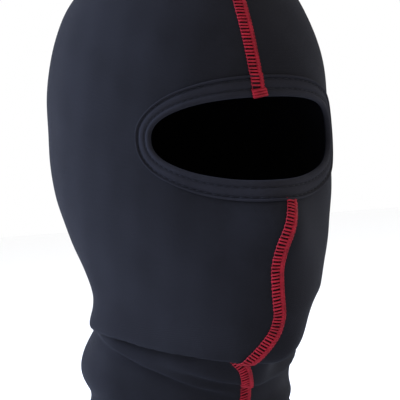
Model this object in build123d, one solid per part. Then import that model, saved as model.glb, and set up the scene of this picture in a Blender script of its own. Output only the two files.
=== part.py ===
from build123d import *

# A knit balaclava in the shape it takes when worn, in millimetres.
#
# Two mirrored hood panels meet on the centre plane X = 0. A folded band with an elastic inside binds the eye
# opening, and flatlock seams, bartacks, a coverstitched hem and a sewn-down label complete it.
#
# Frame: +Z up, the face looks along -Y, the wearer's right is -X. The origin is the inside of the crown, where
# the top of the head bears on the cloth, so the whole hood hangs below Z = 0.

import os
from functools import cache
from math import cos, exp, radians, sin, sqrt, tan


os.makedirs("parts", exist_ok=True)

# Cloth and thread
CLOTH = 1.2  # one layer of knit
BAND_LEG = 0.8  # one leg of the folded band
THREAD = 0.6  # a flatlock thread standing on the cloth
FINE_THREAD = 0.35  # coverstitch and label thread
STITCH_ROW = 0.9  # width of a needle row

# Head: widest level, and how far the cloth stands from the head's axis there
HEAD_Z = -100.0
HEAD_HALF_BREADTH = 77.5
HEAD_FRONT = 95.0
HEAD_BACK = 100.0
DOME_POWER = 2.25  # a crown a little flatter than an ellipse
DOME_STEPS = (12, 24, 36, 47, 57, 66, 74, 81, 86)  # degrees above the widest level

# Lower sections: height on the axis, forward tilt in degrees, centre's Y, half breadth, front, back, nose,
# and how much the jaw and the nape are drawn in between the centre plane and the sides
LOWER_LEVELS = (
    (-118.0, 0.0, 0.0, 77.5, 95.5, 99.5, 0.5, 0.00, 0.00),
    (-134.0, 0.0, 0.0, 76.5, 96.5, 97.5, 5.0, 0.00, 0.00),
    (-149.0, 0.5, 0.0, 74.8, 98.0, 94.5, 11.0, 0.00, 0.00),
    (-162.0, 1.0, 0.0, 72.4, 99.5, 90.5, 15.0, 0.01, 0.02),
    (-173.0, 1.5, 0.0, 70.0, 100.5, 86.0, 12.5, 0.02, 0.04),
    (-185.0, 2.0, 0.0, 66.8, 101.5, 80.5, 7.0, 0.03, 0.08),
    (-198.0, 3.5, 0.5, 63.0, 102.5, 74.5, 3.0, 0.04, 0.11),
    (-210.0, 5.5, 2.0, 60.0, 101.0, 70.0, 1.5, 0.05, 0.09),
    (-221.0, 7.5, 5.0, 58.5, 92.0, 68.5, 0.5, 0.07, 0.05),
    (-230.0, 9.0, 8.0, 58.5, 79.0, 69.5, 0.0, 0.08, 0.02),
    (-239.0, 9.5, 10.0, 60.0, 69.0, 71.5, 0.0, 0.07, 0.00),
    (-249.0, 9.5, 12.0, 60.5, 63.0, 71.0, 0.0, 0.06, 0.00),
    (-259.0, 9.5, 13.5, 57.5, 57.0, 66.0, 0.0, 0.05, 0.00),
    (-272.0, 9.0, 15.0, 60.5, 59.5, 69.0, 0.0, 0.03, 0.00),
    (-286.0, 8.0, 16.5, 61.0, 60.5, 68.5, 0.0, 0.01, 0.00),
    (-302.0, 6.0, 17.5, 59.0, 58.5, 63.5, 0.0, 0.00, 0.00),
    (-320.0, 4.0, 18.0, 61.0, 60.5, 65.0, 0.0, 0.00, 0.00),
    (-340.0, 1.5, 18.0, 65.0, 65.5, 69.5, 0.0, 0.00, 0.00),
    (-356.0, 0.0, 18.0, 68.0, 69.5, 73.0, 0.0, 0.00, 0.00),
    (-366.0, 0.0, 18.0, 69.5, 71.5, 74.5, 0.0, 0.00, 0.00),
)
HEM_Z = -360.0
NOSE_SPREAD = 11.0  # degrees either side of the centre
SECTION_STEP = 10  # degrees between the points of a section

# Eye opening, seen from the front
EYE_Z = -114.5
EYE_HALF_WIDTH = 56.0
EYE_HALF_HEIGHT = 22.5
EYE_POWER = 2.4
EYE_SAG = 3.0  # how much lower its middle is than its corners
BAND_WIDTH = 11.5
BAND_SIDE_SHARE = 0.43  # the cloth turns away at the corners, so the band looks narrower from the front
ELASTIC_FROM, ELASTIC_TO = 1.8, 7.4  # measured from the opening's edge
PANEL_EDGE = 7.8  # the panels' cut edge, inside the band's fold
BAND_ROWS = (4.2, 9.6)  # the needle rows

# Flatlock seams: the ladder side and the edge side, either side of X = 0
LADDER = (-3.0, 0.9)
EDGE = (0.9, 3.0)
UNDER_HALF = 2.0
UNDER_GAP = 0.15  # the under thread spans the cloth's curve in a flat strip
TACK = 0.9  # how far a bartack stands on the cloth
TACK_HALF_WIDTH = 4.6
TACK_EDGE, TACK_HEIGHT = 0.6, 4.6  # measured from the opening's or the hem's edge

# Neck hem and label
HEM_DEPTH = 20.0
HEM_ROWS = (18.0, 12.0)  # above the hem's edge
LABEL = (7.0, 41.0, -335.0, -311.0)  # low X, high X, low Z, high Z
LABEL_THICK = 0.3

REACH = 300.0  # larger than the hood, for cutting tools


def section_radius(angle, half_breadth, front, back, nose, jaw, nape):
    """Distance from the section's centre to the cloth, angle degrees round from the front."""
    a = radians(angle)
    ahead = angle < 90
    depth = front if ahead else back
    drawn_in = (jaw if ahead else nape) * sin(2 * a) ** 2
    radius = (1 - drawn_in) / sqrt((cos(a) / depth) ** 2 + (sin(a) / half_breadth) ** 2)
    return radius + nose * exp(-((angle / NOSE_SPREAD) ** 2))


def section(level, grow):
    """A closed outline at one level, grown outward by grow, which starts at the wearer's left ear."""
    z, tilt, centre_y, half_breadth, front, back, *shape = level
    points = []
    for turn in range(90, 450, SECTION_STEP):
        from_front = abs((turn + 180) % 360 - 180)
        radius = section_radius(from_front, half_breadth + grow, front + grow, back + grow, *shape)
        x, y = radius * sin(radians(turn)), -radius * cos(radians(turn))
        points.append((x, y + centre_y, z + y * tan(radians(tilt))))
    even = [turn / 360 for turn in range(0, 361, SECTION_STEP)]
    return Wire([Edge.make_spline(points, periodic=True, parameters=even)])


def dome_level(steps_up, grow):
    """The section at an angle of steps_up degrees above the widest level."""
    rise = CLOTH - HEAD_Z + grow
    share = sin(radians(steps_up))
    shrink = (1 - share**DOME_POWER) ** (1 / DOME_POWER)
    sizes = [
        (size + grow) * shrink - grow
        for size in (HEAD_HALF_BREADTH, HEAD_FRONT, HEAD_BACK)
    ]
    return (HEAD_Z + rise * share, 0, 0, *sizes, 0, 0, 0)


@cache
def body(grow):
    """The closed volume inside the cloth's outer face, grown outward by grow, down past the hem."""
    lower = [section(level, grow) for level in reversed(LOWER_LEVELS)]
    dome = [section(dome_level(step, grow), grow) for step in (0, *DOME_STEPS)]
    top = Vertex(0, 0, CLOTH + grow)
    return Solid.make_loft(lower + dome + [top])


def block(low, high):
    """A box between two corners."""
    size = [b - a for a, b in zip(low, high)]
    centre = [(a + b) / 2 for a, b in zip(low, high)]
    return Pos(*centre) * Box(*size)


def zone(x=(-REACH, REACH), y=(-REACH, REACH), z=(HEM_Z, REACH)):
    """A box that is open wherever no limit is given, and never reaches below the hem."""
    return block((x[0], y[0], z[0]), (x[1], y[1], z[1]))


def layer(outer, inner, where):
    """The wall between two growths of the body, inside the given zone."""
    return (body(outer) & where) - body(inner)


@cache
def centre_plate(grow):
    """The grown body's outline on the centre plane, as a flat face."""
    return Plane.YZ * Rectangle(4 * REACH, 4 * REACH) & body(grow)


def centre_strip(outer, inner, low_x, high_x, where):
    """A strip on the cloth along the centre plane, between two growths, inside the given zone."""
    wall = centre_plate(outer) - centre_plate(inner)
    return (Pos(low_x, 0, 0) * extrude(wall, amount=high_x - low_x, dir=(1, 0, 0))) & where


def eye_prism(offset):
    """The eye opening's outline, offset outward on the cloth, as a cutter through the front wall."""
    half_width = EYE_HALF_WIDTH + BAND_SIDE_SHARE * offset
    half_height = EYE_HALF_HEIGHT + offset
    points = []
    for angle in range(0, 360, 15):
        c, s = cos(radians(angle)), sin(radians(angle))
        x = half_width * abs(c) ** (2 / EYE_POWER) * (1 if c > 0 else -1)
        z = half_height * abs(s) ** (2 / EYE_POWER) * (1 if s > 0 else -1)
        points.append((x, 0, EYE_Z + z - EYE_SAG * (1 - (x / half_width) ** 2)))
    outline = make_face(Wire([Spline(*points, periodic=True)]))
    return extrude(outline, amount=REACH, dir=(0, -1, 0))


def eye_ring(outer, inner):
    """The ring between two offsets of the eye outline."""
    return eye_prism(outer) - eye_prism(inner)


def both_sides(left):
    """A left half joined to its mirror image."""
    return left + mirror(left, about=Plane.YZ)


def save(name, shape):
    """Write one sub-part, as one solid or a group of separate ones."""
    export_step(Compound(children=list(shape.solids())), f"parts/{name}.step")


def hood_panels():
    """The left panel with its turned-up hem and its share of the eye cut-out, and its mirror image."""
    left_side = zone(x=(0, REACH))
    fold = zone(x=(0, REACH), z=(HEM_Z, HEM_Z + HEM_DEPTH))
    left = layer(0, -CLOTH, left_side) + layer(-CLOTH, -2 * CLOTH, fold)
    left -= eye_prism(PANEL_EDGE)
    save("hood_panel_left", left)
    save("hood_panel_right", mirror(left, about=Plane.YZ))


def eye_band():
    """A strip folded round the panels' cut edge, with the elastic in the fold and its coverstitch."""
    inside = -CLOTH - BAND_LEG
    left_side = zone(x=(0, REACH))
    band = layer(BAND_LEG, inside, eye_ring(BAND_WIDTH, 0) & left_side)
    band -= layer(0, -CLOTH, eye_ring(2 * BAND_WIDTH, ELASTIC_FROM) & left_side)
    save("eye_band", both_sides(band))
    save("eye_elastic", both_sides(layer(0, -CLOTH, eye_ring(ELASTIC_TO, ELASTIC_FROM) & left_side)))
    seam_gap = block((0, -REACH, EYE_Z), (TACK_HALF_WIDTH, 0, REACH))
    for row, name in zip(BAND_ROWS, ("inner", "outer")):
        where = (eye_ring(row + STITCH_ROW / 2, row - STITCH_ROW / 2) & left_side) - seam_gap
        save(f"eye_band_needle_thread_{name}_row", both_sides(layer(BAND_LEG + FINE_THREAD, BAND_LEG, where)))
    looper = eye_ring(BAND_ROWS[1] + STITCH_ROW / 2, BAND_ROWS[0] - STITCH_ROW / 2) & left_side
    save("eye_band_looper_thread", both_sides(layer(inside, inside - FINE_THREAD, looper)))


def over_crown():
    """Where the crown seam runs: up from the eye opening, over the crown and down the back."""
    return zone(z=(EYE_Z, REACH)) + zone(y=(0, REACH))


def below_eyes():
    """Where the chin seam runs."""
    return zone(y=(-REACH, 0), z=(HEM_Z, EYE_Z))


def crown_seam_thread(low_x, high_x):
    """One thread of the crown seam, which climbs over the band and ends at the bartack."""
    path = over_crown() & zone(z=(HEM_Z + TACK_HEIGHT, REACH))
    climb = BAND_WIDTH + 1.0
    on_cloth = centre_strip(THREAD, 0, low_x, high_x, path - eye_prism(BAND_WIDTH))
    step = centre_strip(BAND_LEG + THREAD, 0, low_x, high_x, path & eye_ring(climb, BAND_WIDTH))
    on_band = centre_strip(
        BAND_LEG + THREAD, BAND_LEG, low_x, high_x, path & eye_ring(BAND_WIDTH, TACK_HEIGHT)
    )
    return on_cloth + step + on_band


def chin_seam_thread(low_x, high_x):
    """One thread of the front lower seam, from under the band down to the hem."""
    path = below_eyes() & zone(z=(HEM_Z + TACK_HEIGHT, REACH))
    return centre_strip(THREAD, 0, low_x, high_x, path - eye_prism(BAND_WIDTH))


def flatlock_seams():
    """The needle, edge and under threads of both seams, and the bartacks that lock their ends."""
    save("crown_seam_needle_thread", crown_seam_thread(*LADDER))
    save("crown_seam_edge_thread", crown_seam_thread(*EDGE))
    save("chin_seam_needle_thread", chin_seam_thread(*LADDER))
    save("chin_seam_edge_thread", chin_seam_thread(*EDGE))
    under = (-CLOTH - UNDER_GAP, -CLOTH - UNDER_GAP - FINE_THREAD, -UNDER_HALF, UNDER_HALF)
    above_fold = zone(z=(HEM_Z + HEM_DEPTH, REACH)) - eye_prism(BAND_WIDTH)
    save("crown_seam_under_thread", centre_strip(*under, over_crown() & above_fold))
    save("chin_seam_under_thread", centre_strip(*under, below_eyes() & above_fold))
    tack = (-TACK_HALF_WIDTH, TACK_HALF_WIDTH)
    eye_end = over_crown() & eye_ring(TACK_HEIGHT, TACK_EDGE)
    save("crown_seam_bartack", centre_strip(BAND_LEG + TACK, BAND_LEG, *tack, eye_end))
    for name, y in (("front", (-REACH, 0)), ("back", (0, REACH))):
        hem_end = zone(y=y, z=(HEM_Z + TACK_EDGE, HEM_Z + TACK_HEIGHT))
        save(f"hem_{name}_bartack", centre_strip(TACK, 0, *tack, hem_end))


def hem_stitching():
    """The two needle rows on the outside of the neck hem and the looper thread inside it."""
    for height, name in zip(HEM_ROWS, ("upper", "lower")):
        levels = (HEM_Z + height - STITCH_ROW / 2, HEM_Z + height + STITCH_ROW / 2)
        row = layer(FINE_THREAD, 0, zone(x=(-LADDER[0], REACH), z=levels))
        save(f"hem_needle_thread_{name}_row", both_sides(row))
    levels = (HEM_Z + HEM_ROWS[1] - STITCH_ROW / 2, HEM_Z + HEM_ROWS[0] + STITCH_ROW / 2)
    looper = layer(-2 * CLOTH, -2 * CLOTH - FINE_THREAD, zone(x=(0, REACH), z=levels))
    save("hem_looper_thread", both_sides(looper))


def label():
    """A blank label inside the back of the neck, sewn down along all four edges."""
    low_x, high_x, low_z, high_z = LABEL
    whole = zone((low_x, high_x), (0, REACH), (low_z, high_z))
    inset, width = 1.2, 0.7
    outer = zone((low_x + inset, high_x - inset), (0, REACH), (low_z + inset, high_z - inset))
    inset += width
    inner = zone((low_x + inset, high_x - inset), (0, REACH), (low_z + inset, high_z - inset))
    face = -CLOTH - LABEL_THICK
    save("care_label", layer(-CLOTH, face, whole))
    save("care_label_thread", layer(face, face - FINE_THREAD, outer - inner))


hood_panels()
eye_band()
flatlock_seams()
hem_stitching()
label()
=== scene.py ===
"""Looks of a knit balaclava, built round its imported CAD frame.

Lengths are millimetres until a mesh is made, where they are turned into metres.
"""

from math import cos, pi, radians, sin

import bmesh
import bpy
import numpy as np
from mathutils import Matrix, Vector
from mathutils.bvhtree import BVHTree


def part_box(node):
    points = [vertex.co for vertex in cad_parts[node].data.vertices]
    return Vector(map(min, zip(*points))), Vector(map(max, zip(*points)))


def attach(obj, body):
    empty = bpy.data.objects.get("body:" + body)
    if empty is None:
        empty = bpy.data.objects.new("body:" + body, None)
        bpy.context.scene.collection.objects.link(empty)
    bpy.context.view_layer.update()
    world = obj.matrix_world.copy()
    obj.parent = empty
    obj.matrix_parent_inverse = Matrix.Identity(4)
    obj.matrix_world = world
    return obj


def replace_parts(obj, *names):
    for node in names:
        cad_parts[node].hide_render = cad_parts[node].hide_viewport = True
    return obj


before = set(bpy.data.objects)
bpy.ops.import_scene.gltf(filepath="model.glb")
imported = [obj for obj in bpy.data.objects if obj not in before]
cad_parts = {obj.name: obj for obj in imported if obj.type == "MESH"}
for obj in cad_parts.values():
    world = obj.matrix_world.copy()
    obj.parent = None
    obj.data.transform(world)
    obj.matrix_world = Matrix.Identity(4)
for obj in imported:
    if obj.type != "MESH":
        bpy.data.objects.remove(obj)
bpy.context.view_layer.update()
MM = 0.001

# Places read from the frame
hem_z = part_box("hood_panel_left")[0][2] / MM
band_low, band_high = (np.array(corner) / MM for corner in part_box("eye_band"))

# Cloth grid
COLUMNS = 264
DOME_ROWS = 64
COLUMN_WIDTH = 1.7  # about, at the neck
MEAN_RADIUS = 85  # of the hood, for laying out the knit
HEAD_Z = -100.0
NECK_TOP, NECK_END = -205.0, -280.0
NECK_CENTRE_Y = 18.0
CLOTH = 1.2

# Eye band, as widths on the cloth measured outward from the opening's edge
BAND = 11.5
SIDE_SHARE = 0.43
EYE_POWER = 2.4
EYE_SAG = 3.0
EYE_HALF_WIDTH = (band_high[0] - band_low[0]) / 2 - SIDE_SHARE * BAND
EYE_HALF_HEIGHT = 22.5
EYE_Z = -114.5
CUT_EDGE = 7.8
BAND_ROWS = (4.2, 9.6)
BAND_STEPS = 240
# Section of the folded band: distance from the opening's edge, height over the cloth's outer face
BAND_SECTION = (
    # raised outer edge
    (11.5, 0.05), (11.75, 0.6), (11.65, 1.25), (11.3, 1.6), (10.85, 1.5), (10.5, 1.05),
    # outer stitch row, the swell between the rows, inner stitch row
    (10.15, 0.4), (9.75, 0.15), (9.3, 0.5), (8.6, 0.95), (7.6, 1.15), (6.4, 1.15),
    (5.3, 0.95), (4.6, 0.5), (4.25, 0.3), (3.9, 0.5),
    # round the opening's edge
    (3.2, 1.0), (2.2, 1.2), (1.2, 1.05), (0.4, 0.65), (0.0, 0.0), (-0.1, -0.7), (0.1, -1.4), (0.8, -1.95),
    # the leg inside the hood, and back along the cloth
    (2.2, -2.1), (5.5, -2.1), (9.0, -2.1), (11.0, -2.05), (11.4, -1.7), (11.3, -1.25),
    (6.5, -1.2), (2.4, -1.2), (1.8, -0.6), (2.4, -0.02), (6.5, 0.0),
)

# Flatlock seam
RUNG_PITCH = 1.9
SEAM_LEFT, SEAM_MIDDLE = -3.1, 0.7
CROWN_SPREAD, CHIN_SPREAD = 1.2, -1.1  # how wide each seam is sewn; the chin seam is mirrored
SEAM_FOOT = 5.0  # where the seams start above the hem
# Label inside the back of the neck: heights, and grid columns on the wearer's left of the back seam
LABEL_HEIGHTS = (-336, -310)
LABEL_COLUMNS = (107, 129)
LABEL_STITCH = 2.4
# Sideways place of the front seam down the hood: height, millimetres to the wearer's left
SEAM_WANDER = (
    (-360, 0), (-280, 0), (-262, 2), (-255, 0), (-250, -5), (-246, -7), (-243, -9.5),
    (-239.5, -13), (-237, -23), (-232, -17), (-228, -11.5), (-225, -7.5), (-221, -4),
    (-213, -2.8), (-203, -4), (-187, -5), (-176, -3.5), (-161, 1.5), (-150, 5),
    (-115, 0), (-91, -4), (-80, -4.5), (-50, -7), (-25, -7), (0, -2),
)

# Neck folds. Each has the points of its ridge, as degrees round from the front towards the wearer's left,
# height, and how far it stands out. Then come its half height above the ridge, its half height below,
# and how far its crest hangs down.
FOLDS = (
    # the ridge over the first crease, round the jaw and the nape
    (
        (
            (-180, -205, 2.6), (-140, -206, 3.2), (-117, -208.5, 3.8), (-90, -214, 4.4),
            (-76, -216, 4.6), (-56, -219.5, 4.8), (-40, -223.5, 4.8), (-27, -226.5, 4.8),
            (-10, -231, 4.6), (0, -232, 4.4), (6, -228, 4.0), (11, -224.5, 3.6),
            (25, -221.5, 2.8), (40, -220, 2.2), (63, -218, 2.0), (90, -213, 2.4),
            (120, -209, 2.6), (150, -206, 2.6), (180, -205, 2.6),
        ),
        8.0, 3.1, 3.6,
    ),
    # two folds under it, on the wearer's right and across the front
    (
        (
            (-108, -216, 0), (-85, -221, 2.6), (-66, -227.5, 3.8),
            (-44, -237.5, 4.0), (-22, -249, 3.0), (0, -258, 0),
        ),
        5.5, 3.2, 2.8,
    ),
    (
        (
            (-48, -231, 0), (-31, -236.5, 2.8), (-13, -244, 3.8), (0, -249, 3.8),
            (25, -247, 2.8), (55, -239, 2.4), (95, -232, 2.0), (125, -229, 0),
        ),
        5.5, 3.4, 2.6,
    ),
    # a broad swell round the nape
    (
        ((-180, -236, 3.4), (-150, -238, 3.8), (-117, -247, 4.4), (-90, -253, 3.2), (-62, -259, 0)),
        12.0, 12.0, 1.6,
    ),
    (((100, -240, 0), (130, -238, 3.0), (155, -235.5, 3.6), (180, -236, 3.4)), 10.0, 6.0, 2.0),
    # lower folds, at the front and at the nape, and a faint one lowest in front
    (
        (
            (-110, -274, 0), (-70, -272, 1.6), (-42, -266, 2.4), (-15, -270, 2.6),
            (20, -273, 2.8), (60, -264, 2.4), (100, -258, 2.0), (140, -259, 0),
        ),
        7.5, 4.0, 2.4,
    ),
    (((-180, -262, 2.4), (-140, -267, 2.2), (-100, -281, 1.6), (-60, -287, 0)), 9.0, 5.5, 2.0),
    (((60, -288, 0), (100, -279, 1.8), (145, -268, 2.4), (180, -262, 2.4)), 9.0, 5.5, 2.0),
    (((-120, -300, 0), (-70, -298, 1.4), (-20, -292, 1.8), (35, -295, 1.6), (80, -301, 0)), 11.0, 7.0, 1.4),
)
# How much higher the jaw ends on the wearer's left, where the cloth is pulled in over the neck
JAW_LIFT = 17.0

# Turned-up hem
HEM_DEPTH = 20.0
HEM_ROW_STEP = 2.2
HEM_STITCHES = 150

# Camera
AZIMUTH, ELEVATION, ROLL = -27.0, 1.0, 3.5
DISTANCE = 1.1
AIM = (0, 0, -0.15)
VIEW_WIDTH = 0.2336  # what the picture spans at the camera's distance, in metres
AIM_SHIFT = 0.004672  # how far to the right of the axis the camera aims, in metres


def unit(v):
    """Vectors scaled to length one."""
    return v / np.maximum(np.linalg.norm(v, axis=-1, keepdims=True), 1e-9)


def smoothstep(low, high, x):
    """A soft step from 0 at low to 1 at high."""
    t = np.clip((x - low) / (high - low), 0, 1)
    return t * t * (3 - 2 * t)


# ---------------------------------------------------------------- cloth surface


def cad_tree(*nodes):
    """One search tree over the faces of several CAD nodes, in metres."""
    points, faces = [], []
    for node in nodes:
        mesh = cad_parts[node].data
        start = len(points)
        points += [v.co.copy() for v in mesh.vertices]
        faces += [[start + i for i in p.vertices] for p in mesh.polygons]
    return BVHTree.FromPolygons(points, faces)


def rows():
    """Each row's rays: the height they aim at and how many degrees they rise above level."""
    for z in np.arange(hem_z, NECK_END, HEM_ROW_STEP):
        yield z, 0.0
    for z in np.arange(NECK_END, NECK_TOP, 1.25):
        yield z, 0.0
    for z in np.arange(NECK_TOP, HEAD_Z, 2.2):
        yield z, 0.0
    for rise in np.linspace(0, 90, DOME_ROWS + 1):
        yield HEAD_Z, rise


def seam_shift(z):
    """Sideways place of the front seam at a height."""
    heights, shifts = zip(*SEAM_WANDER)
    return np.mean([np.interp(z + step, heights, shifts) for step in (-1.5, 0, 1.5)])


def hood_grid():
    """The cloth's outer face as rows of points from the hem to the crown.

    The front seam is column 0 and the back seam is the column half way round.
    """
    tree = cad_tree("hood_panel_left", "hood_panel_right")
    levels = list(rows())
    turn = np.radians(np.arange(COLUMNS) * 360 / COLUMNS)
    signed = (turn + pi) % (2 * pi) - pi
    centres = np.zeros((len(levels), 1, 3))
    heads = np.zeros((len(levels), COLUMNS, 3))
    reach = np.full((len(levels), COLUMNS), np.nan)
    for row, (z, rise) in enumerate(levels):
        up = radians(rise)
        centres[row, 0] = (0, NECK_CENTRE_Y * smoothstep(190, 310, -z), z)
        front_z = z + 95 * sin(up)
        around = turn + seam_shift(front_z) * cos(up) / 92 * np.exp(-((signed / 0.45) ** 2))
        level_x, level_y = np.sin(around) * cos(up), -np.cos(around) * cos(up)
        heads[row] = np.stack([level_x, level_y, np.full(COLUMNS, sin(up))], 1)
        aim = Vector(centres[row, 0] * MM)
        for column in range(COLUMNS):
            head = Vector(heads[row, column])
            hit = tree.ray_cast(aim + head * 0.3, -head, 0.3)
            if hit[0] is not None:
                reach[row, column] = 300 - hit[3] / MM
    reach = filled(reach)
    return centres + heads * reach[..., None]


def filled(reach):
    """The grid of distances with its gaps closed by the cloth round them, and the facets smoothed out."""
    gap = np.isnan(reach)
    reach = np.where(gap, np.nanmean(reach, axis=1, keepdims=True), reach)
    for _ in range(900):
        spread = (np.roll(reach, 1, 1) + np.roll(reach, -1, 1)) / 4
        spread[1:-1] += (reach[2:] + reach[:-2]) / 4
        reach[1:-1][gap[1:-1]] = spread[1:-1][gap[1:-1]]
    for _ in range(4):
        reach = (np.roll(reach, 1, 1) + 2 * reach + np.roll(reach, -1, 1)) / 4
        reach[1:-1] = (reach[2:] + 2 * reach[1:-1] + reach[:-2]) / 4
    reach[-1] = reach[-1].mean()
    return reach


def normals(grid):
    """Outward normals of a grid closed round its columns."""
    along = np.roll(grid, -1, 1) - np.roll(grid, 1, 1)
    up = np.gradient(grid, axis=0)
    out = unit(np.cross(along, up))
    out[-1] = (0, 0, 1)
    return out


def folded(grid):
    """The cloth bunched into slanting folds round the neck."""
    centre = np.array([0, NECK_CENTRE_Y, 0])
    angle = np.degrees(np.arctan2(grid[..., 0], -(grid[..., 1] - centre[1])))
    left_side = smoothstep(0, 20, angle) * (1 - smoothstep(75, 125, angle))
    grid[..., 2] += JAW_LIFT * left_side * np.exp(-(((grid[..., 2] + 232) / 24) ** 2))
    out = normals(grid)
    shifted = grid.copy()
    for points, above, below, hang in FOLDS:
        turns, heights, stands = (np.array(values, float) for values in zip(*points))
        ridge = np.interp(angle, turns, heights)
        inside = (angle >= turns[0]) & (angle <= turns[-1])
        stand = np.where(inside, np.interp(angle, turns, stands), 0)
        offset = grid[..., 2] - ridge
        shape = np.where(offset > 0, np.exp(-((offset / above) ** 2)), np.exp(-((offset / below) ** 2)))
        tuck = np.exp(-(((offset + 1.9 * below) / below) ** 2))
        shifted += out * (stand * (shape - 0.45 * tuck))[..., None]
        shifted[..., 2] -= hang * stand / 4 * shape
    return shifted


def relaxed(grid, times):
    """A light smoothing that keeps the hem where it is."""
    for _ in range(times):
        around = (np.roll(grid, 1, 1) + np.roll(grid, -1, 1)) / 2
        grid = grid + 0.25 * (around - grid)
        grid[1:-1] += 0.25 * ((grid[2:] + grid[:-2]) / 2 - grid[1:-1])
    return grid


def uneven(grid):
    """Slow, shallow unevenness of knit pulled over a head."""
    out = normals(grid)
    x, y, z = (grid[..., i] / 10 for i in range(3))
    wave = np.sin(0.9 * x + 0.5 * z + 1.3) * np.sin(0.7 * y - 0.8 * z + 0.4)
    wave += 0.6 * np.sin(1.9 * x - 1.3 * y + 0.6 * z) * np.sin(1.1 * z + 0.9 * y + 2.0)
    return grid + out * (0.32 * wave)[..., None]


# ---------------------------------------------------------------- mesh helpers


def face_outward(mesh):
    """Turns the faces of closed shells outward."""
    shape = bmesh.new()
    shape.from_mesh(mesh)
    bmesh.ops.recalc_face_normals(shape, faces=shape.faces)
    shape.to_mesh(mesh)
    shape.free()


def new_piece(name, points, faces, material, uvs=None, closed=True):
    """A smooth-shaded object that rides on the part."""
    mesh = bpy.data.meshes.new(name)
    corners = [tuple(p) for p in np.asarray(points) * MM]
    mesh.from_pydata(corners, [], [tuple(int(i) for i in f) for f in faces])
    if closed:
        face_outward(mesh)
    if uvs is not None:
        layer = mesh.uv_layers.new(name="UVMap")
        loops = np.zeros(len(mesh.loops), dtype=np.int32)
        mesh.loops.foreach_get("vertex_index", loops)
        layer.data.foreach_set("uv", np.asarray(uvs)[loops].astype(np.float32).ravel())
    mesh.polygons.foreach_set("use_smooth", [True] * len(mesh.polygons))
    mesh.materials.append(material)
    piece = bpy.data.objects.new(name, mesh)
    bpy.context.scene.collection.objects.link(piece)
    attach(piece, "root")
    return piece


def thicken(piece, thickness):
    """The cloth's thickness, inward, kept in the mesh."""
    solid = piece.modifiers.new("thickness", "SOLIDIFY")
    solid.thickness = thickness * MM
    solid.offset = -1
    solid.use_quality_normals = True
    graph = bpy.context.evaluated_depsgraph_get()
    thick = bpy.data.meshes.new_from_object(piece.evaluated_get(graph))
    piece.modifiers.clear()
    piece.data = thick
    return piece


class Tubes:
    """Many short or long round threads gathered into one mesh."""

    def __init__(self):
        self.points, self.faces = [], []

    def add(self, path, radius, sides=6):
        path = np.asarray(path, float)
        ahead = unit(np.gradient(path, axis=0))
        side = unit(np.cross(ahead, np.array([0.31, 0.22, 0.92])))
        over = np.cross(side, ahead)
        start = len(self.points)
        radii = np.broadcast_to(radius, len(path))
        for p, s, o, r in zip(path, side, over, radii):
            for k in range(sides):
                t = 2 * pi * k / sides
                self.points.append(p + r * (cos(t) * s + sin(t) * o))
        for i in range(len(path) - 1):
            for k in range(sides):
                a, b = start + i * sides + k, start + i * sides + (k + 1) % sides
                self.faces.append((a, b, b + sides, a + sides))
        self.faces.append(tuple(range(start + sides - 1, start - 1, -1)))
        end = start + (len(path) - 1) * sides
        self.faces.append(tuple(range(end, end + sides)))

    def piece(self, name, slot, material):
        return new_piece(name, self.points, self.faces, material)


# ---------------------------------------------------------------- hood panels


def eye_point(t, offset):
    """A point of the eye outline, seen from the front, at a distance outward from the opening's edge."""
    half_width = EYE_HALF_WIDTH + SIDE_SHARE * offset
    half_height = EYE_HALF_HEIGHT + offset
    c, s = cos(t), sin(t)
    x = half_width * abs(c) ** (2 / EYE_POWER) * (1 if c > 0 else -1)
    z = half_height * abs(s) ** (2 / EYE_POWER) * (1 if s > 0 else -1)
    return x, EYE_Z + z - EYE_SAG * (1 - (x / half_width) ** 2)


def in_eye(point, offset):
    """Whether a point lies in front and inside the eye outline."""
    x, y, z = point
    half_width = EYE_HALF_WIDTH + SIDE_SHARE * offset
    if y > -20 or abs(x) >= half_width:
        return False
    middle = EYE_Z - EYE_SAG * (1 - (x / half_width) ** 2)
    reach = abs(x) / half_width
    return reach**EYE_POWER + (abs(z - middle) / (EYE_HALF_HEIGHT + offset)) ** EYE_POWER < 1


def hood_panel(name, grid, first, last, node, material):
    """One side of the hood: a span of columns with the eye cut out, given its thickness."""
    columns = np.arange(first, last + 1) % COLUMNS
    part = grid[:, columns]
    height, width = part.shape[:2]
    steps = np.linalg.norm(np.diff(part[:, width // 2], axis=0), axis=1)
    climb = np.concatenate([[0], np.cumsum(steps)])
    across = (np.arange(first, last + 1) - first) * 2 * pi * MEAN_RADIUS / COLUMNS
    uvs = np.stack(np.broadcast_arrays(across[None, :] * MM, climb[:, None] * MM), -1).reshape(-1, 2)
    faces = []
    for r in range(height - 1):
        for c in range(width - 1):
            if in_eye(part[r : r + 2, c : c + 2].reshape(-1, 3).mean(0), CUT_EDGE):
                continue
            a = r * width + c
            faces.append((a, a + 1, a + width + 1, a + width))
    piece = new_piece(name, part.reshape(-1, 3), faces, material, uvs, closed=False)
    tidy = bmesh.new()
    tidy.from_mesh(piece.data)
    bmesh.ops.remove_doubles(tidy, verts=tidy.verts, dist=0.02 * MM)
    loose = [v for v in tidy.verts if not v.link_faces]
    bmesh.ops.delete(tidy, geom=loose, context="VERTS")
    tidy.to_mesh(piece.data)
    tidy.free()
    thicken(piece, CLOTH)
    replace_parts(piece, node)
    return piece


# ---------------------------------------------------------------- eye band


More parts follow.
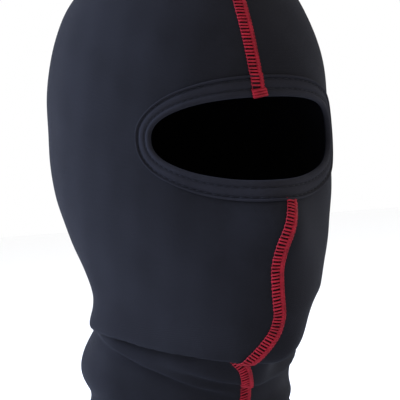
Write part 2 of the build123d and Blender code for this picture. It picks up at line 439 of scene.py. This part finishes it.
class Cloth:
    """The cloth's outer face, for laying bands and threads on it."""

    def __init__(self, grid):
        height = len(grid)
        faces = []
        for r in range(height - 1):
            for c in range(COLUMNS):
                a, b = r * COLUMNS + c, r * COLUMNS + (c + 1) % COLUMNS
                faces.append((a, b, b + COLUMNS, a + COLUMNS))
        self.tree = BVHTree.FromPolygons([Vector(p) for p in grid.reshape(-1, 3)], faces)

    def from_front(self, x, z):
        """The front wall's depth at a place seen from the front."""
        hit = self.tree.ray_cast(Vector((x, -300, z)), Vector((0, 1, 0)))
        return hit[0].y if hit[0] is not None else 0.0

    def frame_at(self, x, z):
        """The point and outward normal of the front wall."""
        y = self.from_front(x, z)
        d = 2.5
        slope_x = (self.from_front(x + d, z) - self.from_front(x - d, z)) / (2 * d)
        slope_z = (self.from_front(x, z + d) - self.from_front(x, z - d)) / (2 * d)
        out = np.array([slope_x, -1.0, slope_z])
        return np.array([x, y, z]), out / np.linalg.norm(out)


def band_point(cloth, t, offset, height):
    """A point over the cloth, by its turn round the eye, distance from the opening's edge and height."""
    point, out = cloth.frame_at(*eye_point(t, offset))
    return point + out * height


def eye_band(cloth, material):
    """The folded binding, swept round the opening."""
    turns = np.arange(BAND_STEPS) * 2 * pi / BAND_STEPS
    count = len(BAND_SECTION)
    points, uvs = [], []
    for i, t in enumerate(turns):
        for offset, height in BAND_SECTION:
            points.append(band_point(cloth, t, offset, height))
            uvs.append((i * 1.15 * MM, (offset + height) * MM))
    points = np.array(points).reshape(BAND_STEPS, count, 3)
    for _ in range(3):
        points = (np.roll(points, 1, 0) + 2 * points + np.roll(points, -1, 0)) / 4
    faces = []
    for i in range(BAND_STEPS):
        for k in range(count):
            a, b = i * count + k, i * count + (k + 1) % count
            c, d = (i + 1) % BAND_STEPS * count + (k + 1) % count, (i + 1) % BAND_STEPS * count + k
            faces.append((a, d, c, b))
    piece = new_piece("eye_band_binding", points.reshape(-1, 3), faces, material, uvs)
    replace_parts(piece, "eye_band")
    return piece


def elastic_tape(cloth, material):
    """The flat elastic inside the band's fold."""
    section = ((2.7, -0.95), (7.2, -0.95), (7.3, -0.6), (7.2, -0.2), (2.7, -0.2), (2.6, -0.6))
    points = [band_point(cloth, i * 2 * pi / BAND_STEPS, offset, height)
              for i in range(BAND_STEPS) for offset, height in section]
    count = len(section)
    faces = []
    for i in range(BAND_STEPS):
        for k in range(count):
            a, b = i * count + k, i * count + (k + 1) % count
            c, d = (i + 1) % BAND_STEPS * count + (k + 1) % count, (i + 1) % BAND_STEPS * count + k
            faces.append((a, b, c, d))
    piece = new_piece("eye_band_elastic", points, faces, material)
    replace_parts(piece, "eye_elastic")


def band_stitches(cloth, material):
    """Two rows of needle stitches and the looper thread inside."""
    stitches = 88
    for row, name in zip(BAND_ROWS, ("inner", "outer")):
        tubes = Tubes()
        for i in range(stitches):
            turns = (i + np.array([0.06, 0.2, 0.5, 0.74, 0.86])) * 2 * pi / stitches
            heights = (0.1, 0.5, 0.62, 0.5, 0.1)
            tubes.add([band_point(cloth, t, row, h) for t, h in zip(turns, heights)], 0.24)
        piece = tubes.piece(f"eye_band_needle_stitches_{name}", "dark_thread", material)
        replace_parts(piece, f"eye_band_needle_thread_{name}_row")
    looper = Tubes()
    for shift in (0.0, pi / stitches):
        path = []
        for i in range(stitches * 4 + 1):
            t = i * 2 * pi / (stitches * 4)
            swing = 0.5 + 0.42 * sin(i * pi / 2 + shift * stitches)
            path.append(band_point(cloth, t, BAND_ROWS[0] + (BAND_ROWS[1] - BAND_ROWS[0]) * swing, -2.3))
        looper.add(path, 0.2, 5)
    piece = looper.piece("eye_band_looper_stitches", "dark_thread", material)
    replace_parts(piece, "eye_band_looper_thread")


# ---------------------------------------------------------------- flatlock seams


class Seam:
    """A path on the cloth with its own sideways, ahead and outward directions."""

    def __init__(self, points, outs):
        points, outs = np.asarray(points), np.asarray(outs)
        steps = np.linalg.norm(np.diff(points, axis=0), axis=1)
        self.lengths = np.concatenate([[0], np.cumsum(steps)])
        self.total = self.lengths[-1]
        self.points = points
        ahead = unit(np.gradient(points, axis=0))
        self.outs = unit(outs - (outs * ahead).sum(-1, keepdims=True) * ahead)
        self.lefts = unit(np.cross(self.outs, ahead))

    def at(self, along, sideways, height):
        def mixed(values):
            return np.array([np.interp(along, self.lengths, values[:, i]) for i in range(3)])

        return mixed(self.points) + mixed(self.lefts) * sideways + mixed(self.outs) * height


def seam_rungs(seam, start, end, tubes, spread):
    """The ladder's rungs, a little uneven as sewn; a negative spread mirrors the seam."""
    count = int((end - start) / RUNG_PITCH)
    for i in range(count):
        along = start + (i + 0.5) * RUNG_PITCH + 0.12 * sin(i * 2.4)
        lean = 0.5 + 0.12 * sin(i * 1.7)
        left = SEAM_LEFT - 0.15 * sin(i * 3.1)
        profile = (
            (left, -0.1, -0.5), (left + 0.25, 0.35, -0.45), (left + 1.1, 0.62, -0.2),
            (-0.8, 0.66, 0.1), (0.3, 0.6, 0.35), (SEAM_MIDDLE + 0.5, 0.35, 0.5),
        )
        path = [seam.at(along + shift * lean, side * spread, height) for side, height, shift in profile]
        tubes.add(path, (0.4, 0.54, 0.6, 0.62, 0.6, 0.5))


def seam_chain(seam, start, end, tubes, spread):
    """Two strands twisted into the solid side of the seam, and a thread along each edge."""
    along = np.arange(start, end, RUNG_PITCH / 7)
    turn = along / RUNG_PITCH * 2 * pi
    for phase in (0.0, pi):
        side = 1.65 + 0.62 * np.sin(turn + phase)
        height = 0.42 + 0.3 * np.cos(turn + phase)
        tubes.add([seam.at(a, s * spread, h) for a, s, h in zip(along, side, height)], 0.47)
    side = 2.72 + 0.16 * np.sin(turn + 0.8)
    height = 0.36 + 0.12 * np.sin(turn * 0.5)
    tubes.add([seam.at(a, s * spread, h) for a, s, h in zip(along, side, height)], 0.36, 5)
    side = SEAM_LEFT + 0.1 + 0.14 * np.sin(turn)
    tubes.add([seam.at(a, s * spread, 0.16) for a, s in zip(along, side)], 0.26, 5)


def seam_under(seam, start, end, tubes):
    """The looper thread inside the hood, in flat crossed loops."""
    along = np.arange(start, end, RUNG_PITCH / 4)
    turn = along / RUNG_PITCH * pi
    for phase in (0.0, pi):
        side = 2.0 * np.sin(turn + phase)
        tubes.add([seam.at(a, s, -CLOTH - 0.25) for a, s in zip(along, side)], 0.22, 5)


def bartack(seam, middle, depth, half_width, lift, tubes):
    """Dense crossing stitches over the seam's end."""
    for i in range(9):
        side = -half_width + half_width * i / 4
        path = [seam.at(middle + depth * k, side + 0.35 * k, lift + h)
                for k, h in ((-1, -0.2), (-0.8, 0.3), (0, 0.45), (0.8, 0.3), (1, -0.2))]
        tubes.add(path, 0.5)
    for k in (-0.55, 0.1, 0.7):
        path = [seam.at(middle + depth * k, half_width * s, lift + h)
                for s, h in ((-1.12, -0.1), (-0.9, 0.75), (0, 0.95), (0.9, 0.75), (1.12, -0.1))]
        tubes.add(path, 0.48)


def band_lift(seam, band_edge):
    """Raises the seam's path by a millimetre over the band near the opening."""
    rise = smoothstep(band_edge - 2.0, band_edge + 0.6, seam.lengths)
    seam.points = seam.points + seam.outs * rise[:, None]


def outline_length(points, test):
    """How far along a path of points a test first holds."""
    steps = np.linalg.norm(np.diff(points, axis=0), axis=1)
    lengths = np.concatenate([[0], np.cumsum(steps)])
    for point, length in zip(points, lengths):
        if test(point):
            return length
    return lengths[-1]


def flatlock(grid, red, dark):
    """Both seams: down the back and over the crown to the opening, and from under the band to the hem."""
    out = normals(grid)
    half = COLUMNS // 2
    crown_points = np.concatenate([grid[:, half], grid[::-1][1:, 0]])
    crown_outs = np.concatenate([out[:, half], out[::-1][1:, 0]])
    band_edge = outline_length(crown_points, lambda p: in_eye(p, BAND))
    opening = outline_length(crown_points, lambda p: in_eye(p, 0))
    crown = Seam(crown_points, crown_outs)
    band_lift(crown, band_edge)
    rungs, chain, under, tack = Tubes(), Tubes(), Tubes(), Tubes()
    seam_rungs(crown, SEAM_FOOT, opening - 4.2, rungs, CROWN_SPREAD)
    seam_chain(crown, SEAM_FOOT, opening - 4.2, chain, CROWN_SPREAD)
    seam_under(crown, HEM_DEPTH + 1, band_edge, under)
    bartack(crown, opening - 2.4, 2.3, 3.9, 0.35, tack)
    hem_back = Tubes()
    bartack(crown, 2.9, 2.1, 4.0, 0.2, hem_back)

    chin = Seam(grid[:, 0], out[:, 0])
    chin_end = outline_length(grid[:, 0], lambda p: in_eye(p, BAND))
    chin_rungs, chin_chain, chin_under, hem_front = Tubes(), Tubes(), Tubes(), Tubes()
    seam_rungs(chin, SEAM_FOOT, chin_end - 0.9, chin_rungs, CHIN_SPREAD)
    seam_chain(chin, SEAM_FOOT, chin_end - 0.3, chin_chain, CHIN_SPREAD)
    seam_under(chin, HEM_DEPTH + 1, chin_end, chin_under)
    bartack(chin, 2.9, 2.1, 4.0, 0.2, hem_front)
    for tubes, name, node, slot, material in (
        (rungs, "crown_seam_rungs", "crown_seam_needle_thread", "seam_thread", red),
        (chain, "crown_seam_chain", "crown_seam_edge_thread", "seam_thread", red),
        (under, "crown_seam_looper", "crown_seam_under_thread", "dark_thread", dark),
        (tack, "crown_seam_tack", "crown_seam_bartack", "seam_thread", red),
        (hem_back, "hem_back_tack", "hem_back_bartack", "seam_thread", red),
        (chin_rungs, "chin_seam_rungs", "chin_seam_needle_thread", "seam_thread", red),
        (chin_chain, "chin_seam_chain", "chin_seam_edge_thread", "seam_thread", red),
        (chin_under, "chin_seam_looper", "chin_seam_under_thread", "dark_thread", dark),
        (hem_front, "hem_front_tack", "hem_front_bartack", "seam_thread", red),
    ):
        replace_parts(tubes.piece(name, slot, material), node)


# ---------------------------------------------------------------- hem and label


def hem(grid, knit, dark):
    """The turned-up inner fold of the hem with its coverstitch."""
    out = normals(grid)
    count = int(HEM_DEPTH / HEM_ROW_STEP) + 1
    outer = grid[:count] - out[:count] * (CLOTH + 0.05)
    inner = grid[:count] - out[:count] * (2 * CLOTH)
    ring = np.concatenate([outer, inner[::-1]])
    faces = []
    rows_round = len(ring)
    for r in range(rows_round):
        for c in range(COLUMNS):
            a, b = r * COLUMNS + c, r * COLUMNS + (c + 1) % COLUMNS
            d, e = (r + 1) % rows_round * COLUMNS + c, (r + 1) % rows_round * COLUMNS + (c + 1) % COLUMNS
            faces.append((a, d, e, b))
    across, up = np.meshgrid(np.arange(COLUMNS) * COLUMN_WIDTH, np.arange(rows_round) * HEM_ROW_STEP)
    uvs = np.stack([across, up], -1).reshape(-1, 2) * MM
    fold = new_piece("hem_fold", ring.reshape(-1, 3), faces, knit, uvs)

    paths = {"upper": 18.0, "lower": 12.0}
    stitches = HEM_STITCHES
    for name, above in paths.items():
        tubes = Tubes()
        line, away = level_line(grid, out, hem_z + above)
        for i in range(stitches):
            if min(i, stitches - i, abs(i - stitches // 2)) < 2:
                continue
            path = []
            for share, height in ((0.08, -0.25), (0.2, 0.15), (0.5, 0.22), (0.74, 0.15), (0.86, -0.25)):
                path.append(line((i + share) / stitches) + away((i + share) / stitches) * height)
            tubes.add(path, 0.26)
        piece = tubes.piece(f"hem_needle_stitches_{name}", "dark_thread", dark)
        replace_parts(piece, f"hem_needle_thread_{name}_row")
    low, low_out = level_line(grid, out, hem_z + paths["lower"])
    high, _ = level_line(grid, out, hem_z + paths["upper"])
    looper = Tubes()
    for phase in (0.0, pi):
        path = []
        for i in range(stitches * 4 + 1):
            turn = i / (stitches * 4)
            mix = 0.5 + 0.5 * sin(i * pi / 2 + phase)
            place = low(turn) * (1 - mix) + high(turn) * mix
            path.append(place - unit(low_out(turn)) * (2 * CLOTH + 0.15))
        looper.add(path, 0.22, 5)
    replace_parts(looper.piece("hem_looper_stitches", "dark_thread", dark), "hem_looper_thread")


def level_line(grid, out, z):
    """Places and outward directions round the hood at one height, by share of a turn."""
    row = int(np.argmin(np.abs(grid[:, :, 2].mean(1) - z)))
    ring = np.concatenate([grid[row], grid[row][:1]])
    away = np.concatenate([out[row], out[row][:1]])
    share = np.linspace(0, 1, COLUMNS + 1)

    def place(turn):
        return np.array([np.interp(turn, share, ring[:, i]) for i in range(3)])

    def outward(turn):
        return np.array([np.interp(turn, share, away[:, i]) for i in range(3)])

    return place, outward


def care_label(grid, satin, thread):
    """The blank label inside the back of the neck, with the running stitch round its edge."""
    heights = grid[:, :, 2].mean(1)
    rows_held = np.nonzero((heights > LABEL_HEIGHTS[0]) & (heights < LABEL_HEIGHTS[1]))[0]
    columns_held = np.arange(*LABEL_COLUMNS)
    patch = grid[np.ix_(rows_held, columns_held)]
    away = normals(grid)[np.ix_(rows_held, columns_held)]
    height, width = patch.shape[:2]
    sides = [patch - away * (CLOTH + gap) for gap in (0.06, 0.36)]
    points = np.concatenate([side.reshape(-1, 3) for side in sides])
    faces = []
    for start in (0, height * width):
        for r in range(height - 1):
            for c in range(width - 1):
                a = start + r * width + c
                faces.append((a, a + 1, a + width + 1, a + width))
    rim = [(0, c) for c in range(width)] + [(r, width - 1) for r in range(1, height)]
    rim += [(height - 1, c) for c in range(width - 2, -1, -1)] + [(r, 0) for r in range(height - 2, 0, -1)]
    for (r, c), (r2, c2) in zip(rim, rim[1:] + rim[:1]):
        a, b = r * width + c, r2 * width + c2
        faces.append((a, b, b + height * width, a + height * width))
    piece = new_piece("care_label_satin", points, faces, satin)
    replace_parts(piece, "care_label")

    inset = 0.7
    corners = ((inset, inset), (inset, width - 1 - inset), (height - 1 - inset, width - 1 - inset),
               (height - 1 - inset, inset), (inset, inset))
    tubes = Tubes()
    for (r, c), (r2, c2) in zip(corners, corners[1:]):
        side_length = np.hypot(HEM_ROW_STEP * (r2 - r), COLUMN_WIDTH * (c2 - c))
        stitches = int(side_length / LABEL_STITCH)
        for i in range(stitches):
            path = []
            for share, lift in ((0.1, 0.3), (0.25, 0.5), (0.7, 0.5), (0.85, 0.3)):
                along = (i + share) / stitches
                row, column = r + (r2 - r) * along, c + (c2 - c) * along
                inward = -unit(surface_point(away, row, column))
                path.append(surface_point(patch, row, column) + inward * (CLOTH + lift))
            tubes.add(path, 0.17, 5)
    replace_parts(tubes.piece("care_label_stitches", "dark_thread", thread), "care_label_thread")


def surface_point(patch, row, column):
    """A value between the rows and columns of a patch."""
    r, c = min(int(row), patch.shape[0] - 2), min(int(column), patch.shape[1] - 2)
    down, over = row - r, column - c
    near = patch[r, c] * (1 - over) + patch[r, c + 1] * over
    far = patch[r + 1, c] * (1 - over) + patch[r + 1, c + 1] * over
    return near * (1 - down) + far * down


# ---------------------------------------------------------------- materials


class Nodes:
    """Short-hand for building a material's node tree."""

    def __init__(self, name):
        self.material = bpy.data.materials.new(name)
        self.material.use_nodes = True
        self.tree = self.material.node_tree
        self.shader = self.tree.nodes["Principled BSDF"]

    def add(self, kind, **settings):
        node = self.tree.nodes.new(kind)
        for key, value in settings.items():
            setattr(node, key, value)
        return node

    def link(self, source, target):
        self.tree.links.new(source, target)

    def math(self, operation, first, second=None):
        node = self.add("ShaderNodeMath", operation=operation)
        for socket, value in zip(node.inputs, (first, second)):
            if isinstance(value, (int, float)):
                socket.default_value = value
            elif value is not None:
                self.link(value, socket)
        return node.outputs[0]

    def noise(self, vector, scale, detail=3.0):
        node = self.add("ShaderNodeTexNoise")
        node.inputs["Scale"].default_value = scale
        node.inputs["Detail"].default_value = detail
        self.link(vector, node.inputs["Vector"])
        return node.outputs["Fac"]

    def ramp(self, factor, low, high, start=0.35, end=0.65):
        node = self.add("ShaderNodeValToRGB")
        node.color_ramp.elements[0].position = start
        node.color_ramp.elements[1].position = end
        node.color_ramp.elements[0].color = (*low, 1)
        node.color_ramp.elements[1].color = (*high, 1)
        self.link(factor, node.inputs["Fac"])
        return node.outputs["Color"]

    def bump(self, height, strength, distance):
        node = self.add("ShaderNodeBump")
        node.inputs["Strength"].default_value = strength
        node.inputs["Distance"].default_value = distance
        self.link(height, node.inputs["Height"])
        self.link(node.outputs["Normal"], self.shader.inputs["Normal"])


def knit_material(name, dark, light, wale, course):
    """Fine jersey: rows of small V stitches with a brushed, slightly uneven surface."""
    n = Nodes(name)
    coords = n.add("ShaderNodeTexCoord")
    split = n.add("ShaderNodeSeparateXYZ")
    n.link(coords.outputs["UV"], split.inputs[0])
    across = n.math("MULTIPLY", split.outputs["X"], 1 / (wale * MM))
    along = n.math("MULTIPLY", split.outputs["Y"], 1 / (course * MM))
    wale_share = n.math("PINGPONG", across, 0.5)
    leg = n.math("SINE", n.math("MULTIPLY", wale_share, 2 * pi))
    slant = n.math("ADD", along, n.math("MULTIPLY", wale_share, 1.2))
    loop = n.math("SINE", n.math("MULTIPLY", slant, 2 * pi))
    stitch = n.math("MULTIPLY", leg, n.math("ADD", n.math("MULTIPLY", loop, 0.35), 0.65))
    fuzz = n.noise(coords.outputs["Object"], 2600, 2.0)
    patches = n.noise(coords.outputs["Object"], 38, 4.0)
    slub = n.noise(coords.outputs["Object"], 420, 3.0)
    height = n.math("ADD", stitch, n.math("MULTIPLY", fuzz, 0.7))
    tone = n.math("ADD", n.math("MULTIPLY", patches, 0.55), n.math("MULTIPLY", slub, 0.45))
    n.link(n.ramp(tone, dark, light, 0.36, 0.64), n.shader.inputs["Base Color"])
    rough = n.math("ADD", n.math("MULTIPLY", slub, 0.12), 0.78)
    n.link(rough, n.shader.inputs["Roughness"])
    n.shader.inputs["Specular IOR Level"].default_value = 0.06
    n.shader.inputs["Sheen Weight"].default_value = 0.02
    n.shader.inputs["Sheen Roughness"].default_value = 0.45
    n.shader.inputs["Sheen Tint"].default_value = (0.62, 0.70, 1.0, 1)
    n.bump(height, 0.45, 0.00025)
    return n.material


def thread_material(name, dark, light, sheen):
    """Twisted polyester thread with fine plies."""
    n = Nodes(name)
    coords = n.add("ShaderNodeTexCoord")
    plies = n.noise(coords.outputs["Object"], 2200, 3.0)
    tone = n.noise(coords.outputs["Object"], 260, 2.0)
    n.link(n.ramp(tone, dark, light, 0.3, 0.7), n.shader.inputs["Base Color"])
    n.link(n.math("ADD", n.math("MULTIPLY", plies, 0.25), 0.42), n.shader.inputs["Roughness"])
    n.shader.inputs["Specular IOR Level"].default_value = 0.12
    n.shader.inputs["Sheen Weight"].default_value = sheen
    n.bump(plies, 0.5, 0.0002)
    return n.material


def plain_cloth(name, dark, light):
    """A smooth woven tape or label."""
    n = Nodes(name)
    coords = n.add("ShaderNodeTexCoord")
    weave = n.add("ShaderNodeTexWave", wave_type="BANDS", bands_direction="Z")
    weave.inputs["Scale"].default_value = 900
    weave.inputs["Distortion"].default_value = 0.6
    n.link(coords.outputs["Object"], weave.inputs["Vector"])
    tone = n.noise(coords.outputs["Object"], 700, 3.0)
    n.link(n.ramp(tone, dark, light), n.shader.inputs["Base Color"])
    n.shader.inputs["Roughness"].default_value = 0.6
    n.bump(weave.outputs["Fac"], 0.3, 0.0002)
    return n.material


# ---------------------------------------------------------------- studio and camera


def area_light(name, place, target, size, watts, colour):
    """A square soft light turned towards a point."""
    light = bpy.data.lights.new(name, "AREA")
    light.size = size
    light.energy = watts
    light.color = colour
    lamp = bpy.data.objects.new(name, light)
    lamp.location = place
    lamp.rotation_euler = (Vector(target) - Vector(place)).to_track_quat("-Z", "Y").to_euler()
    bpy.context.scene.collection.objects.link(lamp)


def studio():
    """A pale floor, a white surround and soft light that comes mostly from the picture's left."""
    world = bpy.data.worlds.new("studio")
    world.use_nodes = True
    background = world.node_tree.nodes["Background"]
    background.inputs["Color"].default_value = (1.0, 1.0, 1.0, 1)
    background.inputs["Strength"].default_value = 1.0
    bpy.context.scene.world = world
    bpy.context.scene.view_settings.view_transform = "Standard"
    floor_mesh = bpy.data.meshes.new("floor")
    size, floor_z = 6.0, (hem_z - 0.4) * MM
    corners = [(-size, -size, floor_z), (size, -size, floor_z), (size, size, floor_z), (-size, size, floor_z)]
    floor_mesh.from_pydata(corners, [], [(0, 1, 2, 3)])
    floor = bpy.data.objects.new("floor", floor_mesh)
    bpy.context.scene.collection.objects.link(floor)
    n = Nodes("floor_paper")
    n.shader.inputs["Base Color"].default_value = (0.96, 0.96, 0.96, 1)
    n.shader.inputs["Roughness"].default_value = 0.9
    floor_mesh.materials.append(n.material)
    middle = (0, 0, -0.15)
    area_light("window", (-1.45, 0.6, 0.7), middle, 1.0, 105, (0.56, 0.68, 1.0))
    area_light("front", (-1.1, -1.2, 1.0), middle, 1.0, 9, (0.62, 0.74, 1.0))
    area_light("right", (1.1, -1.1, 1.1), middle, 1.0, 9, (1.0, 0.88, 0.80))


def camera():
    """The camera at the picture's angle, tilted a little with the head's lean."""
    data = bpy.data.cameras.new("camera")
    data.sensor_width = 36
    data.lens = data.sensor_width * DISTANCE / VIEW_WIDTH
    data.clip_end = 50
    eye = bpy.data.objects.new("camera", data)
    a, e = radians(AZIMUTH), radians(ELEVATION)
    away = Vector((sin(a) * cos(e), -cos(a) * cos(e), sin(e)))
    right = Vector((cos(a), sin(a), 0))
    target = Vector(AIM) + right * AIM_SHIFT
    turn = (-away).to_track_quat("-Z", "Y").to_matrix().to_4x4()
    roll = Matrix.Rotation(radians(-ROLL), 4, "Z")
    eye.matrix_world = Matrix.Translation(target + away * DISTANCE) @ turn @ roll
    bpy.context.scene.collection.objects.link(eye)
    bpy.context.scene.camera = eye


# ---------------------------------------------------------------- the balaclava

knit = knit_material("dark_knit", (0.0036, 0.0034, 0.0042), (0.0054, 0.0052, 0.0064), 0.9, 0.7)
# The band's knit is the hood's jersey painted lighter: a painted highlight standing in for the light the
# band's raised fold catches.
band_knit = knit_material("band_knit", (0.0062, 0.0059, 0.0074), (0.0090, 0.0087, 0.0110), 0.8, 0.6)
red = thread_material("red_thread", (0.125, 0.0022, 0.0068), (0.215, 0.0044, 0.0125), 0.0)
dark = thread_material("navy_thread", (0.0026, 0.0026, 0.0040), (0.0046, 0.0046, 0.0070), 0.0)
elastic = plain_cloth("elastic_tape", (0.02, 0.02, 0.022), (0.04, 0.04, 0.044))
label = plain_cloth("label_satin", (0.025, 0.026, 0.03), (0.045, 0.046, 0.052))

grid = uneven(relaxed(folded(hood_grid()), 2))
grid[0, :, 2] = hem_z
cloth = Cloth(grid)
half = COLUMNS // 2
hood_panel("hood_panel_left_cloth", grid, 0, half, "hood_panel_left", knit)
hood_panel("hood_panel_right_cloth", grid, half, COLUMNS, "hood_panel_right", knit)
eye_band(cloth, band_knit)
elastic_tape(cloth, elastic)
band_stitches(cloth, dark)
flatlock(grid, red, dark)
hem(grid, knit, dark)
care_label(grid, label, dark)

studio()
camera()
